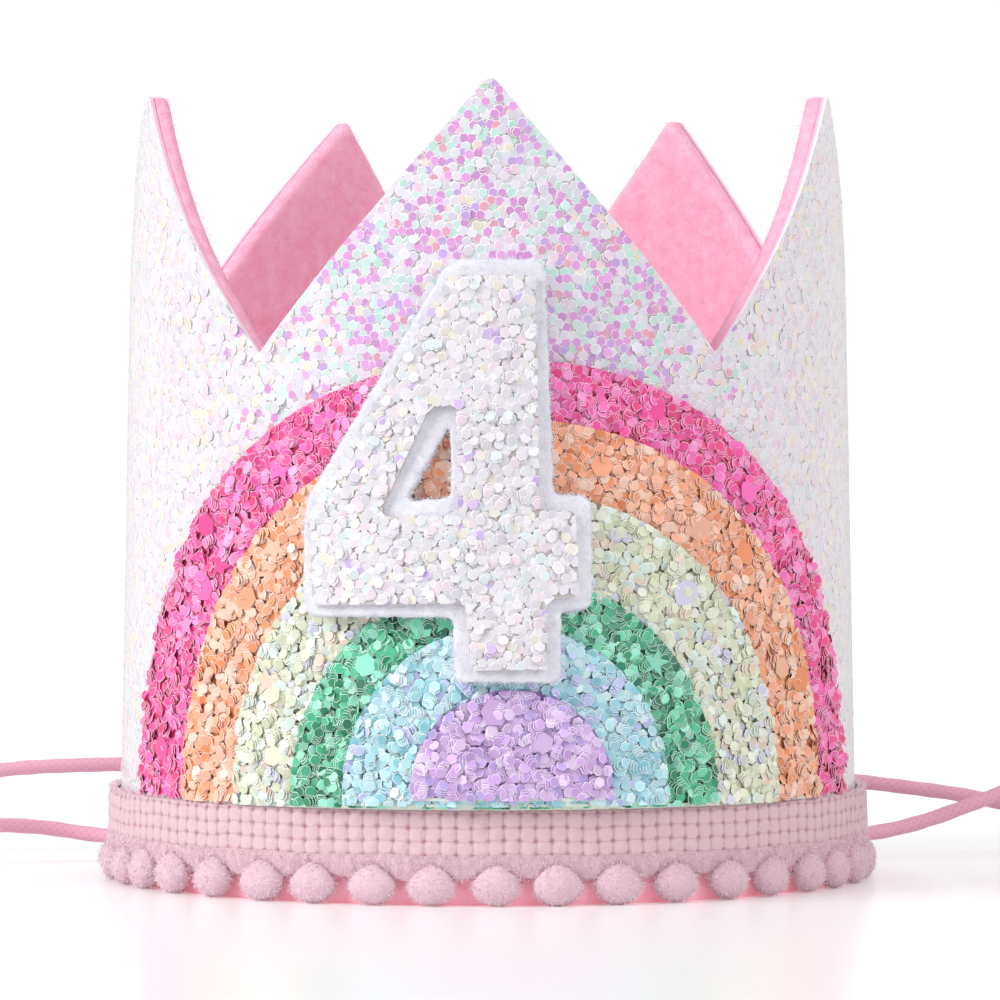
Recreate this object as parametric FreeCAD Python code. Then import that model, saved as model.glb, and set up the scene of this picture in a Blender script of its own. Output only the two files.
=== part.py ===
import FreeCAD, Part
import math
import os

# A child's birthday crown: a felt wall faced with glitter canvas, cut to points, with a
# stacked glitter rainbow, a felt numeral, a knitted pom-pom trim and a thin elastic.
# Millimetres. The axis of the crown is Z, the surface that it stands on is z = 0,
# and an angle is measured about Z from the front (-Y), positive towards +X.

Vector = FreeCAD.Vector
Point = FreeCAD.Base.Vector2d
CENTRE = Vector(0, 0, 0)
UP = Vector(0, 0, 1)

# Wall: a strip of felt and glitter canvas rolled into a slightly tapering ring
wall_radius = 52.55
wall_taper = 0.019
canvas_thickness = 0.8
felt_thickness = 2.5
canvas_bottom = 6.3
seam_width = 0.4

# Points of the wall, from the back seam round the left, the front and the right
point_height = 110.8
valley_height = 73.7
point_angles = (-153.0, -74.0, 0.4, 73.0, 144.5)
valley_angles = (-112.0, -37.2, 37.0, 109.0)
tip_round = 1.6

# Rainbow: glitter discs stacked from the largest, each cut off straight at its foot:
# name, radius, height of its centre, height of its foot and angle of its middle
disc_thickness = 0.7
disc_sizes = (
    ("pink", 61.3, 11.6, 12.9, 1.8),
    ("orange", 50.1, 14.7, 12.9, 3.45),
    ("cream", 40.0, 15.3, 12.85, 3.5),
    ("green", 29.7, 14.4, 13.05, 2.7),
    ("aqua", 22.0, 15.5, 13.35, 2.65),
    ("lilac", 13.5, 15.4, 14.2, 3.3),
)

# Numeral: a felt backing with a smaller glitter face, leaning out over the discs
numeral_top = 85.9
numeral_foot = 30.0
backing_thickness = 2.5
face_thickness = 0.8
glue_gap = 0.1

# Outlines of the numeral: place round the wall, height and rounding of each corner
backing_corners = (
    (-22.3, 38.5, 1.8),
    (-22.9, 53.5, 1.8),
    (-4.9, numeral_top, 1.8),
    (7.3, numeral_top, 1.8),
    (8.0, 54.7, 0.5),
    (12.6, 54.5, 1.8),
    (12.4, 39.5, 1.8),
    (8.6, 39.3, 0.5),
    (8.4, numeral_foot, 1.0),
    (-3.8, numeral_foot, 1.0),
    (-4.1, 38.5, 0.5),
)
backing_window = ((-4.5, 64.4, 0.8), (-10.0, 53.8, 0.8), (-4.5, 54.2, 0.8))
face_corners = (
    (-20.9, 40.1, 1.0),
    (-21.5, 52.2, 1.0),
    (-4.8, 83.8, 1.0),
    (5.9, 83.8, 1.0),
    (6.1, 52.7, 0.4),
    (10.3, 52.6, 1.0),
    (10.6, 41.5, 1.0),
    (6.8, 40.8, 0.4),
    (6.7, 31.7, 0.6),
    (-1.9, 31.6, 0.6),
    (-2.6, 40.4, 0.4),
)
face_window = ((-3.9, 66.6, 0.6), (-7.0, 66.2, 0.6), (-13.0, 51.9, 1.6), (-3.5, 52.0, 0.6))

# Trim: a knitted braid with three rows of stitches and a thin selvage under them
trim_gap = 0.15
trim_top = 12.7
trim_bottom = 5.6
trim_thickness = 1.15
stitch_rows = 3
stitch_depth = 0.4
selvage_height = 1.3

# Pom-poms that hang from the trim and stand on the floor
pompom_count = 40
pompom_width = 6.2
pompom_height = trim_bottom
pompom_depth = 3.6
pompom_sides = 8
pompom_start = 1.0

# Elastic: glued in under the trim on both sides, slipped round the back of the wall
elastic_diameter = 2.2
elastic_points = (
    (-48.1, 18.9, 3.5),
    (-57.0, 22.4, 3.7),
    (-66.0, 21.6, 5.3),
    (-75.4, 16.6, 5.9),
    (-84.0, 10.2, 4.5),
    (-93.4, 5.8, 2.2),
    (-102.8, 8.6, 1.2),
    (-107.2, 18.0, 1.15),
    (-104.6, 28.4, 2.4),
    (-96.4, 35.2, 6.7),
    (-85.6, 38.6, 10.5),
    (-73.0, 40.2, 12.7),
    (-59.6, 41.2, 13.2),
    (-46.0, 43.4, 13.2),
    (-32.4, 47.0, 13.6),
    (-19.2, 51.4, 14.0),
    (-6.4, 54.0, 13.95),
    (6.4, 54.0, 13.95),
    (19.2, 51.4, 13.95),
    (32.6, 46.6, 13.3),
    (46.2, 42.4, 11.7),
    (60.0, 39.0, 10.3),
    (73.4, 36.2, 8.7),
    (85.6, 31.0, 5.9),
    (96.0, 22.8, 2.3),
    (106.2, 16.4, 1.2),
    (117.4, 19.6, 1.15),
    (122.0, 30.4, 1.15),
    (117.0, 41.0, 1.15),
    (106.4, 45.4, 2.2),
    (97.6, 40.2, 6.5),
    (90.2, 32.0, 10.7),
    (81.6, 26.6, 11.9),
    (73.2, 24.8, 8.9),
    (64.4, 25.4, 5.5),
    (55.8, 24.3, 3.7),
    (47.4, 20.6, 3.5),
)


def wall_surface(offset):
    """The conical surface of the wall, offset mm outside the canvas."""
    height = point_height
    foot = wall_radius + offset
    return Part.Cone(CENTRE, UP * height, foot, foot - wall_taper * height)


def wall_radius_at(height, offset=0.0):
    """Radius of the surface offset mm outside the canvas, at a height."""
    return wall_radius + offset - wall_taper * height


def disc_offset(count):
    """How far outside the canvas a stack of count discs reaches."""
    return count * disc_thickness


def line(start, end):
    """A straight stretch of a flat outline."""
    return ("line", start, end)


def rounded_outline(corners, roundings):
    """A closed outline of straight stretches with its corners rounded off."""
    count = len(corners)
    cuts = []
    for index, corner in enumerate(corners):
        before = corners[index - 1]
        after = corners[(index + 1) % count]
        cuts.append(
            (
                towards(corner, before, roundings[index]),
                towards(corner, after, roundings[index]),
            )
        )
    outline = []
    for index, corner in enumerate(corners):
        start, end = cuts[index]
        if roundings[index] > 0:
            outline.append(("bend", start, corner, end))
        outline.append(line(end, cuts[(index + 1) % count][0]))
    return outline


def towards(corner, other, distance):
    """The point that lies a distance from a corner towards another point."""
    along = (other[0] - corner[0], other[1] - corner[1])
    share = min(distance / math.hypot(along[0], along[1]), 0.49)
    return (corner[0] + along[0] * share, corner[1] + along[1] * share)


def edge_on(surface, stretch, width_radius):
    """One stretch of a flat outline, wrapped round a conical surface.

    A flat width turns into an angle by the radius width_radius, and a flat height
    stays the height."""
    slope = 1 / math.cos(surface.SemiAngle)

    def place(point):
        return Point(point[0] / width_radius, point[1] * slope)

    if stretch[0] == "line":
        curve = Part.Geom2d.Line2dSegment(place(stretch[1]), place(stretch[2]))
    elif stretch[0] == "bend":
        curve = Part.Geom2d.BezierCurve2d()
        curve.setPoles([place(point) for point in stretch[1:]])
    else:
        centre, radius, start, end = stretch[1:]
        top = place((centre[0], centre[1] + radius))
        side = place((centre[0] - radius, centre[1]))
        ellipse = Part.Geom2d.Ellipse2d(top, side, place(centre))
        curve = Part.Geom2d.ArcOfEllipse2d(ellipse, start - math.pi / 2, end - math.pi / 2)
    return curve.toShape(surface)


def wrapped_solid(outlines, inner, outer, width_radius):
    """Flat outlines wrapped round the axis as a sheet between two cones.

    The first outline is the edge of the sheet, and any others are holes in it."""
    faces = []
    wires = ([], [])
    for outline in outlines:
        inner_edges = [edge_on(inner, stretch, width_radius) for stretch in outline]
        outer_edges = [edge_on(outer, stretch, width_radius) for stretch in outline]
        for stretch, inner_edge, outer_edge in zip(outline, inner_edges, outer_edges):
            faces.append(cut_face(stretch, inner_edge, outer_edge))
        wires[0].append(Part.Wire(inner_edges))
        wires[1].append(Part.Wire(outer_edges))
    faces.append(face_on(inner, wires[0]))
    faces.append(face_on(outer, wires[1]))
    shell = Part.makeShell(faces)
    shell.sewShape()
    solid = Part.makeSolid(shell)
    if solid.Volume < 0:
        solid.reverse()
    return solid


def cut_face(stretch, inner_edge, outer_edge):
    """The cut edge of a sheet: a flat face where it is level or upright, else a ruled one."""
    start = stretch[1]
    end = stretch[-1]
    if stretch[0] != "line" or (start[0] != end[0] and start[1] != end[1]):
        return Part.makeRuledSurface(inner_edge, outer_edge)
    sides = [
        Part.makeLine(inner_edge.valueAt(place), outer_edge.valueAt(place))
        for place in inner_edge.ParameterRange
    ]
    return Part.Face(Part.Wire([inner_edge, sides[1], outer_edge, sides[0]]))


def face_on(surface, wires):
    """A face of a conical surface inside its first wire, with the others cut out."""
    face = Part.Face(surface, wires[0])
    for wire in wires[1:]:
        hole = Part.Face(surface, wire)
        face = face.cut(hole).Faces[0]
    return face


def wall_outline(foot):
    """The strip of the wall laid flat, from its foot to the cut points."""
    edge = math.pi * wall_radius - seam_width / 2
    corners = [(-edge, foot), (-edge, valley_height)]
    roundings = [0, 0]
    for index, angle in enumerate(point_angles):
        corners.append((wall_radius * math.radians(angle), point_height))
        roundings.append(tip_round)
        if index < len(valley_angles):
            valley = wall_radius * math.radians(valley_angles[index])
            corners.append((valley, valley_height))
            roundings.append(0)
    corners += [(edge, valley_height), (edge, foot)]
    roundings += [0, 0]
    return rounded_outline(corners, roundings)


def glitter_shell():
    inner = wall_surface(-canvas_thickness)
    return wrapped_solid([wall_outline(canvas_bottom)], inner, wall_surface(0), wall_radius)


def felt_lining():
    inner = wall_surface(-canvas_thickness - felt_thickness)
    outer = wall_surface(-canvas_thickness)
    return wrapped_solid([wall_outline(0.0)], inner, outer, wall_radius)


def rainbow_disc(index):
    """One disc of the rainbow, lying on the disc before it or on the canvas."""
    name, radius, centre_height, foot_height, angle = disc_sizes[index]
    radius_here = wall_radius_at(foot_height, disc_offset(index))
    middle = radius_here * math.radians(angle)
    drop = math.asin((foot_height - centre_height) / radius)
    half_foot = radius * math.cos(drop)
    arch = ("arc", (middle, centre_height), radius, drop, math.pi - drop)
    foot = line((middle - half_foot, foot_height), (middle + half_foot, foot_height))
    inner = wall_surface(disc_offset(index))
    outer = wall_surface(disc_offset(index + 1))
    return wrapped_solid([[arch, foot]], inner, outer, radius_here)


def numeral_lean():
    """Slope at which the numeral clears the top edge of every disc behind it."""
    slopes = []
    for index, (name, radius, centre_height, foot_height, angle) in enumerate(disc_sizes):
        edge = centre_height + radius
        if numeral_foot < edge < numeral_top:
            slopes.append(disc_offset(index + 1) / (numeral_top - edge))
    return max(slopes)


def numeral_surface(offset):
    """The conical surface that the numeral follows, offset mm from its back."""
    top = wall_radius_at(numeral_top, glue_gap + offset)
    slope = wall_taper + numeral_lean()
    foot = top + slope * numeral_top
    return Part.Cone(CENTRE, UP * numeral_top, foot, top)


def numeral_layer(corners, window, inner_offset, outer_offset):
    """A layer of the numeral with its window, between two distances from its back."""
    outlines = []
    for outline in (corners, window):
        places = [(across, height) for across, height, rounding in outline]
        outlines.append(rounded_outline(places, [rounding for across, height, rounding in outline]))
    inner = numeral_surface(inner_offset)
    outer = numeral_surface(outer_offset)
    return wrapped_solid(outlines, inner, outer, wall_radius_at(numeral_top))


def numeral_backing():
    return numeral_layer(backing_corners, backing_window, 0, backing_thickness)


def numeral_face():
    outside = backing_thickness + face_thickness
    return numeral_layer(face_corners, face_window, backing_thickness, outside)


def trim_braid():
    """The braid as a turned ring with a rounded ridge for each row of stitches."""
    row_height = (trim_top - trim_bottom - selvage_height) / stitch_rows
    base = wall_radius_at(trim_bottom, trim_gap)
    outside = base + trim_thickness
    levels = [trim_bottom, trim_bottom + selvage_height]
    for row in range(stitch_rows):
        levels.append(levels[-1] + row_height)
    edges = []
    for index, (low, high) in enumerate(zip(levels, levels[1:])):
        depth = stitch_depth if index else stitch_depth / 2
        crest = Vector(outside + depth, 0, (low + high) / 2)
        edges.append(Part.Arc(Vector(outside, 0, low), crest, Vector(outside, 0, high)).toShape())
    edges.append(Part.makeLine(Vector(outside, 0, trim_top), Vector(base, 0, trim_top)))
    edges.append(Part.makeLine(Vector(base, 0, trim_top), Vector(base, 0, trim_bottom)))
    edges.append(Part.makeLine(Vector(base, 0, trim_bottom), Vector(outside, 0, trim_bottom)))
    profile = Part.Face(Part.Wire(edges))
    return profile.revolve(CENTRE, UP, 360)


def pompom(index):
    """One pom-pom: a ball of flat facets, flattened against the felt behind it."""
    angle = pompom_start + index * 360 / pompom_count
    felt = wall_radius_at(0, -canvas_thickness)
    middle = felt + pompom_depth / 2
    bands = 4
    rings = []
    for band in range(bands):
        tilt = math.pi * (band + 0.5) / bands
        level = pompom_height / 2 * (1 - math.cos(tilt) / math.cos(math.pi / bands / 2))
        spread = math.sin(tilt) / math.cos(math.pi / bands / 2)
        ring = []
        for side in range(pompom_sides):
            turn = 2 * math.pi * (side + 0.5) / pompom_sides
            reach = pompom_depth / 2 / math.cos(math.pi / pompom_sides)
            across = pompom_width / 2 / math.cos(math.pi / pompom_sides)
            ring.append(
                Vector(
                    spread * across * math.cos(turn),
                    -middle - spread * reach * math.sin(turn),
                    level,
                )
            )
        rings.append(ring)
    faces = [Part.Face(Part.makePolygon(ring + ring[:1])) for ring in (rings[0], rings[-1])]
    for lower, upper in zip(rings, rings[1:]):
        for side in range(pompom_sides):
            other = (side + 1) % pompom_sides
            quad = [lower[side], lower[other], upper[other], upper[side], lower[side]]
            faces.append(Part.Face(Part.makePolygon(quad)))
    shell = Part.makeShell(faces)
    shell.sewShape()
    ball = Part.makeSolid(shell)
    if ball.Volume < 0:
        ball.reverse()
    ball.rotate(CENTRE, UP, angle)
    return ball


def cord_path(points):
    """Straight runs joined by tangent arcs, each as large as its two runs allow."""
    edges = []
    radii = []
    start = points[0]
    for before, corner, after in zip(points, points[1:], points[2:]):
        back = before - corner
        on = after - corner
        turn = math.pi - back.getAngle(on)
        setback = 0.45 * min(back.Length, on.Length)
        radius = setback / math.tan(turn / 2)
        back.normalize()
        on.normalize()
        first = corner + back * setback
        last = corner + on * setback
        inward = back + on
        inward.normalize()
        middle = corner + inward * (radius / math.cos(turn / 2) - radius)
        edges.append(Part.makeLine(start, first))
        edges.append(Part.Arc(first, middle, last).toShape())
        radii.append(radius)
        start = last
    edges.append(Part.makeLine(start, points[-1]))
    return Part.Wire(edges), radii


def elastic():
    points = [Vector(*point) for point in elastic_points]
    path, radii = cord_path(points)
    section = Part.Circle(points[0], points[1] - points[0], elastic_diameter / 2)
    ring = Part.Wire(section.toShape())
    tube = path.makePipeShell([ring], True, False, 0)
    print("elastic length %.1f, tightest arcs" % path.Length, [round(r, 1) for r in sorted(radii)[:6]])
    expected = math.pi * elastic_diameter ** 2 / 4 * path.Length
    print("elastic volume %.1f, section times length %.1f" % (tube.Volume, expected))
    return tube


def parts():
    nodes = {
        "glitter_shell": glitter_shell(),
        "felt_lining": felt_lining(),
        "numeral_backing": numeral_backing(),
        "numeral_face": numeral_face(),
        "trim_braid": trim_braid(),
        "elastic": elastic(),
    }
    for index, disc in enumerate(disc_sizes):
        nodes["rainbow_" + disc[0]] = rainbow_disc(index)
    for index in range(pompom_count):
        nodes["pompom_%02d" % (index + 1)] = pompom(index)
    return nodes


def main():
    os.makedirs("parts", exist_ok=True)
    for name, shape in parts().items():
        print(name, "valid" if shape.isValid() else "NOT VALID", len(shape.Solids), round(shape.Volume, 1))
        shape.exportStep("parts/" + name + ".step")


main()
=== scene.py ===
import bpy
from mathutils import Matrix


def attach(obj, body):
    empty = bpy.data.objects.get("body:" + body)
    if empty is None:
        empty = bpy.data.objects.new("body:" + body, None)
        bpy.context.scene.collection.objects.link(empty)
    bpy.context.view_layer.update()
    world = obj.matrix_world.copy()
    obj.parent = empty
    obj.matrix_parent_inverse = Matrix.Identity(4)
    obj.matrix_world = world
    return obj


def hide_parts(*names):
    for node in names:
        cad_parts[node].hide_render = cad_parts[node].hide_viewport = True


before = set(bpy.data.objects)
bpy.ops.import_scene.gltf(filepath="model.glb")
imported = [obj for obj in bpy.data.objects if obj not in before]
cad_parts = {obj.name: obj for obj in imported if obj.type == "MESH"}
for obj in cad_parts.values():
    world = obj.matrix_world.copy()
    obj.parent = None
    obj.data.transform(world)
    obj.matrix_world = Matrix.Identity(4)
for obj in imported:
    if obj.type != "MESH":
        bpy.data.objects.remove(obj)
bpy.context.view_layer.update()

import copy
import math

import bpy
import numpy as np
from mathutils import Vector, noise

# A child's birthday crown dressed for the camera: glitter flakes, felt, a knitted trim
# with pom-poms and a thin elastic. Lengths are millimetres unless a name ends in _m;
# an angle is measured about Z from the front (-Y), positive towards +X.

MM = 0.001
rng = np.random.default_rng(4)

# Wall of the crown, as in the frame
wall_radius = 52.55
wall_taper = 0.019
canvas_thickness = 0.8
canvas_foot = 6.3
felt_thickness = 2.5
seam_width = 0.4
point_height = 110.8
valley_height = 73.7
tip_drop = 0.58
tip_round = 1.6
bend_start = 84.0
bend_span = 22.0
bend_depth = 0.65
point_angles = (-153.0, -74.0, 0.4, 73.0, 144.5)
valley_angles = (-112.0, -37.2, 37.0, 109.0)
trim_top = 12.7
trim_base = 0.15
trim_thickness = 1.15

# Rainbow discs: name, radius, height of centre, height of foot, angle of the middle
disc_thickness = 0.7
disc_sizes = (
    ("pink", 61.3, 11.6, 12.9, 1.8),
    ("orange", 50.1, 14.7, 12.9, 3.45),
    ("cream", 40.0, 15.3, 12.85, 3.5),
    ("green", 29.7, 14.4, 13.05, 2.7),
    ("aqua", 22.0, 15.5, 13.35, 2.65),
    ("lilac", 13.5, 15.4, 14.2, 3.3),
)

# Numeral
numeral_top = 85.9
numeral_foot = 30.0
backing_thickness = 2.5
face_thickness = 0.8
glue_gap = 0.1
face_outline = (
    (-20.9, 40.1), (-21.5, 52.2), (-4.8, 83.8), (5.9, 83.8), (6.1, 52.7), (10.3, 52.6),
    (10.6, 41.5), (6.8, 40.8), (6.7, 31.7), (-1.9, 31.6), (-2.6, 40.4),
)
face_window = ((-3.9, 66.6), (-7.0, 66.2), (-13.0, 51.9), (-3.5, 52.0))

# Pom-poms
pompom_count = 40
pompom_size = (6.9, 4.0, 5.6)
pompom_start = 1.0
fluff_fibres = 1050

# Glitter: hexagonal flakes, measured across their corners
flake_radius = 0.8
flake_height = 0.065
shell_spacing = 1.2
disc_spacing = 1.12
numeral_spacing = 1.06

# Braid: columns of stitches round the crown, height of a row, and its two edges
braid_columns = 160
braid_row = 1.82
braid_edge = 12.3
fringe_top = 6.84
stitch_points = 7
# Its lip from the wall outwards: rise above the trim's top, lift off its outer face
braid_lip = ((-0.1, -0.9), (0.17, -0.55), (0.13, -0.1), (-0.2, 0.12))

# Felt's cut edge: depth behind the felt's outer face, and share of the drop below the cut
felt_edge_drop = 1.45
felt_edge = (
    (0.0, 0.9), (0.02, 0.2), (0.25, 0.03), (0.7, 0.0), (1.25, 0.02), (1.8, 0.14), (2.25, 0.5),
    (felt_thickness, 1.15),
)

# Loose fibres
edge_fibres = 5200
nap_fibres = 6500
numeral_edge_fibres = 2600
numeral_front_fibres = 1500
braid_fibres = 28000
fibre_curl = 0.6

# Light
world_level = 0.52
seep_level = 0.33
floor_glow = 0.15
floor_reach = 12.0

# Elastic
elastic_diameter = 2.2
elastic_points = (
    (-48.1, 18.9, 3.5), (-57.0, 22.4, 3.7), (-66.0, 21.6, 5.3), (-75.4, 16.6, 5.9),
    (-84.0, 10.2, 4.5), (-93.4, 5.8, 2.2), (-102.8, 8.6, 1.2), (-107.2, 18.0, 1.15),
    (-104.6, 28.4, 2.4), (-96.4, 35.2, 6.7), (-85.6, 38.6, 10.5), (-73.0, 40.2, 12.7),
    (-59.6, 41.2, 13.2), (-46.0, 43.4, 13.2), (-32.4, 47.0, 13.6), (-19.2, 51.4, 14.0),
    (-6.4, 54.0, 13.95), (6.4, 54.0, 13.95), (19.2, 51.4, 13.95), (32.6, 46.6, 13.3),
    (46.2, 42.4, 11.7), (60.0, 39.0, 10.3), (73.4, 36.2, 8.7), (85.6, 31.0, 5.9),
    (96.0, 22.8, 2.3), (106.2, 16.4, 1.2), (117.4, 19.6, 1.15), (122.0, 30.4, 1.15),
    (117.0, 41.0, 1.15), (106.4, 45.4, 2.2), (97.6, 40.2, 6.5), (90.2, 32.0, 10.7),
    (81.6, 26.6, 11.9), (73.2, 24.8, 8.9), (64.4, 25.4, 5.5), (55.8, 24.3, 3.7),
    (47.4, 20.6, 3.5),
)

# Camera: a long lens straight in front, a little under half way up the crown
camera_distance = 730.0
camera_height = 59.7
lens_mm = 183.6
camera_pitch = math.radians(0.483)
camera_yaw = math.radians(0.135)


def add_object(name, data):
    made = bpy.data.objects.new(name, data)
    bpy.context.scene.collection.objects.link(made)
    return made


def add_camera():
    data = bpy.data.cameras.new("camera")
    data.lens = lens_mm
    data.sensor_width = 36.0
    camera = add_object("camera", data)
    camera.location = (0, -camera_distance * MM, camera_height * MM)
    camera.rotation_euler = (math.pi / 2 - camera_pitch, 0, -camera_yaw)
    bpy.context.scene.camera = camera


def linear(code):
    """A colour written as six hexadecimal digits, as linear red, green and blue."""
    parts = [int(code[index:index + 2], 16) / 255 for index in (0, 2, 4)]
    return tuple(p / 12.92 if p <= 0.04045 else ((p + 0.055) / 1.055) ** 2.4 for p in parts)


class Nodes:
    """The node tree of a material or of the world, with short ways to add to it."""

    def __init__(self, owner, shader, **values):
        owner.use_nodes = True
        self.tree = owner.node_tree
        self.shader = self.tree.nodes[shader]
        for name, value in values.items():
            self.feed(name.replace("_", " "), value)

    def put(self, socket, value):
        """Set a socket to a plain value, or link a result to it."""
        if isinstance(value, (float, tuple)):
            socket.default_value = value
        else:
            self.tree.links.new(value, socket)

    def feed(self, name, value):
        self.put(self.shader.inputs[name], value)

    def add(self, kind, **settings):
        made = self.tree.nodes.new("ShaderNode" + kind)
        for name, value in settings.items():
            socket = name.replace("_", " ")
            if socket in made.inputs:
                self.put(made.inputs[socket], value)
            else:
                setattr(made, name, value)
        return made

    def maths(self, operation, *values, kind="Math"):
        made = self.add(kind, operation=operation)
        for socket, value in zip(made.inputs, values):
            self.put(socket, value)
        return made.outputs[0]

    def noise(self, scale, **settings):
        """Noise that is fixed to the piece."""
        place = self.add("TexCoord").outputs["Object"]
        return self.add("TexNoise", Vector=place, Scale=scale, **settings).outputs

    def split(self, vector):
        return self.add("SeparateXYZ", Vector=vector).outputs

    def height(self):
        """Height above the floor."""
        return self.split(self.add("NewGeometry").outputs["Position"])["Z"]

    def tint(self):
        return self.add("Attribute", attribute_name="tint").outputs

    def wrap(self):
        return self.add("UVMap", uv_map="wrap").outputs["UV"]

    def mix(self, factor, first, second, blend="MIX"):
        mixer = self.add("Mix", data_type="RGBA", blend_type=blend, Factor=factor, A=first, B=second)
        return mixer.outputs["Result"]

    def ramp(self, factor, *stops):
        """A colour ramp over a factor, from stops of place and colour."""
        made = self.add("ValToRGB", Fac=factor)
        elements = made.color_ramp.elements
        while len(elements) < len(stops):
            elements.new(0.5)
        for element, (place, colour) in zip(elements, stops):
            element.position = place
            element.color = (*colour, 1)
        return made.outputs["Color"]

    def bump(self, height, strength, distance_mm):
        made = self.add("Bump", Strength=strength, Distance=distance_mm * MM, Height=height)
        self.feed("Normal", made.outputs["Normal"])


def new_material(name, **values):
    """A material with a Principled shader, and the values set on its sockets."""
    material = bpy.data.materials.new(name)
    return material, Nodes(material, "Principled BSDF", **values)


def on_circle(radius, turn, z):
    """Points on a radius, at angles from the front, at a height."""
    return np.stack([radius * np.sin(turn), -radius * np.cos(turn), z + 0 * turn], axis=-1)


def on_ball(polar, spin):
    """Points on a ball of radius one."""
    level = np.sin(polar)
    return np.stack([np.cos(spin) * level, np.sin(spin) * level, np.cos(polar)], axis=-1)


def unit(vectors):
    return vectors / np.linalg.norm(vectors, axis=1)[:, None]


def lumps(points):
    """Smooth noise at each point."""
    return np.array([noise.noise(Vector(point)) for point in points])


def strip_faces(rows, across):
    """Faces of a closed section of so many rows, drawn along a strip that has two ends."""
    faces = []
    for row in range(rows):
        near, far = row * across, (row + 1) % rows * across
        for column in range(across - 1):
            faces.append((near + column, near + column + 1, far + column + 1, far + column))
    faces.append(tuple(row * across for row in reversed(range(rows))))
    faces.append(tuple(row * across + across - 1 for row in range(rows)))
    return faces


def tube_faces(rings, sides, first=0):
    """Faces between rings of points, each ring closed on itself."""
    faces = []
    for near in range(first, first + (rings - 1) * sides, sides):
        for side in range(sides):
            after = (side + 1) % sides
            faces.append((near + side, near + after, near + sides + after, near + sides + side))
    return faces


def ribbon_faces(count):
    """Faces of fibres with five points each: a four-sided length and a pointed tip."""
    faces = []
    for start in range(0, count * 5, 5):
        faces.append((start, start + 1, start + 2, start + 3))
        faces.append((start + 3, start + 2, start + 4))
    return faces


def add_piece(name, verts_mm, faces, material, smooth=True, uv=None, tint=None):
    """A mesh piece from points in millimetres, riding on the crown."""
    mesh = bpy.data.meshes.new(name)
    mesh.from_pydata((np.asarray(verts_mm, float) * MM).tolist(), [], faces)
    mesh.polygons.foreach_set("use_smooth", [smooth] * len(mesh.polygons))
    if uv is not None:
        layer = mesh.uv_layers.new(name="wrap")
        index = np.empty(len(mesh.loops), int)
        mesh.loops.foreach_get("vertex_index", index)
        layer.data.foreach_set("uv", np.asarray(uv, float)[index].ravel())
    if tint is not None:
        domain = "POINT" if len(tint) == len(verts_mm) else "CORNER"
        attribute = mesh.color_attributes.new("tint", "FLOAT_COLOR", domain)
        colours = np.ones((len(tint), 4))
        colours[:, :3] = tint
        attribute.data.foreach_set("color", colours.ravel())
    mesh.materials.append(material)
    mesh.validate()
    piece = add_object(name, mesh)
    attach(piece, "root")
    return piece


def tip_bend(z):
    """How far the wall has bent in at a height, smoothly from nothing to its full depth."""
    rise = np.clip((np.asarray(z) - bend_start) / bend_span, 0, 1)
    return bend_depth * rise * rise * (3 - 2 * rise)


class Sheet:
    """A flat sheet wrapped on a cone about Z: u runs round it, z up it, lift off it."""

    def __init__(self, foot_radius, taper, width_radius):
        self.foot_radius = foot_radius
        self.taper = taper
        self.width_radius = width_radius

    def place(self, u, z, lift=0.0):
        angle = np.asarray(u) / self.width_radius
        radius = self.foot_radius - self.taper * np.asarray(z) - tip_bend(z) + lift
        return on_circle(radius, angle, z)

    def cut(self, points, trim):
        """Points moved back to the outline that trim keeps flat places inside."""
        angle = np.arctan2(points[:, 0], -points[:, 1])
        radius = np.hypot(points[:, 0], points[:, 1])
        u, z = trim(angle * self.width_radius, points[:, 2])
        return on_circle(radius, u / self.width_radius, z)

    def axes(self, u):
        """Outward, round and upward directions at places round the sheet."""
        angle = np.asarray(u) / self.width_radius
        lean = 1 / math.hypot(1, self.taper)
        out = on_circle(1, angle, self.taper) * lean
        round_ = np.stack([np.cos(angle), np.sin(angle), 0 * angle], axis=-1)
        return out, round_, np.cross(out, round_)


def disc_sheet(index):
    """The front of one disc, with the width radius that its outline was laid out by."""
    foot_height = disc_sizes[index][3]
    laid_on = wall_radius + index * disc_thickness - wall_taper * foot_height
    return Sheet(wall_radius + (index + 1) * disc_thickness, wall_taper, laid_on)


def numeral_sheet(offset):
    leans = []
    for index, (name, radius, centre, foot, angle) in enumerate(disc_sizes):
        edge = centre + radius
        if numeral_foot < edge < numeral_top:
            leans.append((index + 1) * disc_thickness / (numeral_top - edge))
    slope = wall_taper + max(leans)
    wall_top = wall_radius - wall_taper * numeral_top
    return Sheet(wall_top + glue_gap + offset + slope * numeral_top, slope, wall_top)


def cut_height(angle_degrees):
    """Height of the wall's cut edge at an angle, with the tips rounded off."""
    corners = [(-180.0, valley_height)]
    for index, angle in enumerate(point_angles):
        corners.append((angle, point_height))
        if index < len(valley_angles):
            corners.append((valley_angles[index], valley_height))
    corners.append((180.0, valley_height))
    heights = np.interp(angle_degrees, *zip(*corners))
    for angle in point_angles:
        across = np.abs(np.asarray(angle_degrees) - angle) * math.radians(1) * wall_radius
        reach = tip_round * 0.78
        rise = np.sqrt(np.clip(tip_round ** 2 - across ** 2, 0, None))
        ball = point_height - tip_drop - tip_round + rise
        heights = np.where(across < reach, np.minimum(heights, ball), heights)
    return heights


def in_disc(index, angle, z, margin):
    """Whether points lie inside a disc's outline, with a margin outside it."""
    name, radius, centre, foot, middle = disc_sizes[index]
    across = (angle - math.radians(middle)) * disc_sheet(index).width_radius
    return (np.hypot(across, z - centre) < radius + margin) & (z > foot - margin)


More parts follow.
